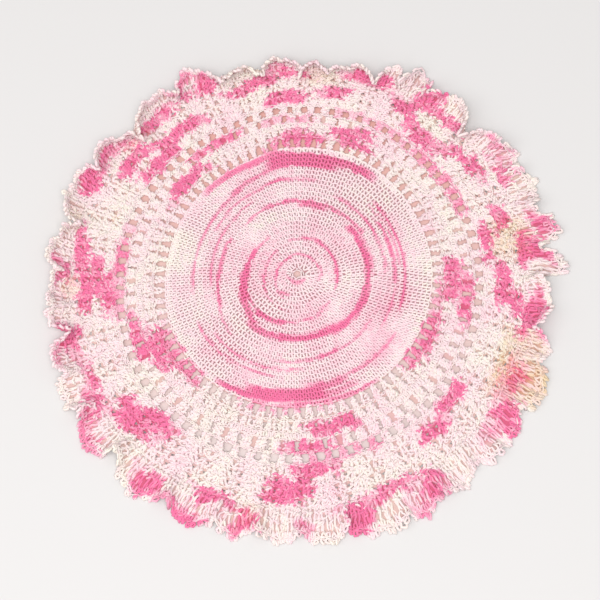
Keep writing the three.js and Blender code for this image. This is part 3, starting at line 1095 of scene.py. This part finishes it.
def insideShape(places, shape):
    inside = np.zeros(len(places), dtype=bool)
    for (a, s), (b, t) in zip(shape, np.roll(shape, -1, axis=0)):
        crosses = (s > places[:, 1]) != (t > places[:, 1])
        if s != t:
            inside ^= crosses & (places[:, 0] < (b - a) * (places[:, 1] - s) / (t - s) + a)
    return inside


def distanceTo(places, shape, perDegree):
    scale = np.array([perDegree, 1])
    least = np.full(len(places), np.inf)
    for start, end in zip(shape * scale, np.roll(shape, -1, axis=0) * scale):
        side = end - start
        share = np.clip((places * scale - start) @ side / (side @ side), 0, 1)[:, None]
        least = np.minimum(least, np.linalg.norm(places * scale - start - share * side, axis=1))
    return least


def groundRepeat():
    pitch = 360 / shells["count"]
    start = -pitch / 4  # so that no hole crosses the sides of the repeat
    rings = np.concatenate([
        np.linspace(work["ringHole"], ground["discRingsEnd"], ground["discRings"]),
        np.arange(ground["openStart"], work["shellsEnd"], ground["openStep"]),
        np.linspace(work["shellsEnd"], ground["end"], ground["frillRings"]),
    ])
    columns = np.linspace(start, start + pitch, ground["columns"] + 1)
    places = np.array([(angle, along) for angle in columns for along in rings])
    atSide = (places[:, 0] == columns[0]) | (places[:, 0] == columns[-1])
    holes = holesIn(start, pitch)
    kept = np.ones(len(places), dtype=bool)
    edges, corners, count = [], [], 0
    for shape in holes:
        perDegree = math.pi / 180 * shape[:, 1].mean()
        near = insideShape(places, shape) | (
            distanceTo(places, shape, perDegree) < ground["clearance"])
        kept &= atSide | ~near
        corners.append(shape)
        edges += [(count + i, count + (i + 1) % len(shape)) for i in range(len(shape))]
        count += len(shape)
    flat = np.concatenate(corners + [places[kept]])
    scale = math.pi / 180 * work["eyelets"]  # a degree's length in the middle of the open part
    places = [Vector((angle * scale, along)) for angle, along in flat]
    cut = geometry.delaunay_2d_cdt(places, edges, [], 0, ground["closest"])
    flat = np.array([(place.x / scale, place.y) for place in cut[0]])
    faces = np.array([face for face in cut[2]])
    middles = flat[faces].mean(axis=1)
    for shape in holes:
        outside = ~insideShape(middles, shape)
        faces, middles = faces[outside], middles[outside]
    return flat, faces, pitch


def areaOf(corners):
    first, second, third = corners.transpose(1, 0, 2)
    return np.linalg.norm(np.cross(second - first, third - first), axis=1).sum() / 2


def layGround():
    flat, faces, pitch = groundRepeat()
    copies = shells["count"]
    allFlat = np.concatenate([flat + np.array([pitch * i, 0]) for i in range(copies)])
    allFaces = np.concatenate([faces + len(flat) * i for i in range(copies)])
    atZero = 0.1 / ground["welding"]  # keeps the last side of the last repeat with the first
    keys = np.stack([np.mod(allFlat[:, 0] + atZero, 360), allFlat[:, 1]], axis=1)
    _, first, same = np.unique(np.round(keys * ground["welding"]), axis=0, return_index=True,
                               return_inverse=True)
    places, allFaces = allFlat[first], np.ravel(same)[allFaces]
    angle, along = places.T
    half = ground["thickness"] / 2
    top = onCloth(angle, along, np.full(len(angle), ground["lift"] + half))
    under = onCloth(angle, along, np.full(len(angle), ground["lift"] - half))
    for face, above in ((under, work["offTable"]), (top, work["offTable"] + half)):
        face[:, 2] = np.maximum(face[:, 2], ringAt[2] + above * mm)

    # walls join top and underside along every open edge
    count = len(places)
    once = {}
    for a, b in np.concatenate([allFaces[:, pair] for pair in ([0, 1], [1, 2], [2, 0])]):
        if not once.pop((b, a), False):
            once[(a, b)] = True
    start, end = np.array(list(once)).T
    walls = np.stack([end, start, start + count, end + count], axis=1)
    polygons = allFaces.tolist() + (allFaces[:, ::-1] + count).tolist() + walls.tolist()
    mesh = bpy.data.meshes.new("clothSheet")
    mesh.from_pydata(np.concatenate([top, under]).tolist(), [], polygons)
    mesh.shade_smooth()
    for key, values in (
            ("dye", dyeAt(angle, along)),
            ("stain", depthIn(stains, angle, along, blending["sheetStainEdge"])),
            ("tone", np.full(count, ground["tone"]))):
        storeValues(mesh, key, np.tile(values, 2))
    # The sheet carries painted shade: darker between the open stitches, and darker still between
    # the close stitches of the disc.
    mesh.materials.append(paintedShadeOpenCotton)
    mesh.materials.append(paintedShadeCloseCotton)
    close = [all(along[v % count] < work["discEdge"] for v in polygon) for polygon in polygons]
    mesh.polygons.foreach_set("material_index", np.array(close, dtype=np.int32))
    piece = linked("clothSheet", mesh)
    wave = np.radians(angle)
    spread = np.stack([along * np.cos(wave), along * np.sin(wave), 0 * along], axis=1) * mm
    area, flatArea = (areaOf(points[allFaces]) for points in (top, spread))
    print(f"clothSheet: {len(polygons)} faces, laid area {area:.5f}, flat area {flatArea:.5f}")
    return piece, flatArea


clothSheet, flatArea = layGround()
print("cloth laid")
stitchWork = [layDisc(), *layOpenRounds(), *layShells(), *layFrill()]
print("stitches laid")

for piece in (clothSheet, *stitchWork):
    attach(piece, "root")
    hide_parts("doily")


# A pale matt table with shade painted on it under the cloth, and soft light from above, the left
# and the near side.
room = {
    "table": "#d3d1d0",
    "tableRoughness": 0.9,
    "tableSpecular": 0.1,
    "paintedShadeUnderCloth": "#d3a39b",  # painted shade: the table in the cloth's shade, warmed by light off it
    "paintedShadeRadius": 108 * mm,
    "paintedShadeEdge": 5 * mm,
    "paintedShadeFade": (90 * mm, -100 * mm, 0.8),  # the painted shade is paler on the near side: from and to Y, how much
    "tableSize": 4.0,
    "sky": 0.53,
    "skyColour": "#f8f7f7",
}
lamps = [
    # size and place in metres, watts
    ("window", 1.6, (-1.1, -0.7, 1.65), 15.5),
    ("overhead", 1.0, (0.05, -0.6, 1.75), 24.5),
]


def setTable():
    half = room["tableSize"] / 2
    mesh = bpy.data.meshes.new("tableTop")
    low = lowCorner[2]
    corners = [(-half, -half, low), (half, -half, low), (half, half, low), (-half, half, low)]
    mesh.from_pydata(corners, [], [(0, 1, 2, 3)])
    material = bpy.data.materials.new("matt white table with painted shade under the cloth")
    material.use_nodes = True
    shader = material.node_tree.nodes["Principled BSDF"].inputs
    add = nodeSetter(material.node_tree)
    # Shade is painted into the table's colour under the cloth, pink-tan and paler towards the near
    # side; it shows only through the lace's holes.
    place = add("ShaderNodeTexCoord").outputs["Object"]
    fromRing = add("ShaderNodeVectorMath", {0: place, 1: (ringAt[0], ringAt[1], low)},
                   operation="DISTANCE").outputs["Value"]
    radius = room["paintedShadeRadius"]
    under = add("ShaderNodeMapRange", {
        "Value": fromRing, "From Min": radius - room["paintedShadeEdge"], "From Max": radius})
    fadeStart, fadeEnd, faded = room["paintedShadeFade"]
    paintedShadeNearSide = add("ShaderNodeMapRange", {
        "Value": add("ShaderNodeSeparateXYZ", {0: place}).outputs["Y"],
        "From Min": fadeStart, "From Max": fadeEnd, "To Max": faded})
    share = add("ShaderNodeMath", {0: under, 1: paintedShadeNearSide}, operation="MAXIMUM")
    colour = add("ShaderNodeMix", {0: share, 6: toLinear(room["paintedShadeUnderCloth"]),
                                   7: toLinear(room["table"])}, data_type="RGBA")
    material.node_tree.links.new(colour.outputs[2], shader["Base Color"])
    shader["Roughness"].default_value = room["tableRoughness"]
    shader["Specular IOR Level"].default_value = room["tableSpecular"]
    mesh.materials.append(material)
    linked("tableTop", mesh)

    for name, size, place, watts in lamps:
        lampData = bpy.data.lights.new(name, "AREA")
        lampData.size = size
        lampData.energy = watts
        lamp = linked(name, lampData)
        lamp.location = place
        lamp.rotation_euler = Vector(place).to_track_quat("Z", "Y").to_euler()

    world = bpy.data.worlds.new("room")
    scene.world = world
    world.use_nodes = True
    background = world.node_tree.nodes["Background"]
    background.inputs["Color"].default_value = toLinear(room["skyColour"])
    background.inputs["Strength"].default_value = room["sky"]


setTable()
print("table and light set")
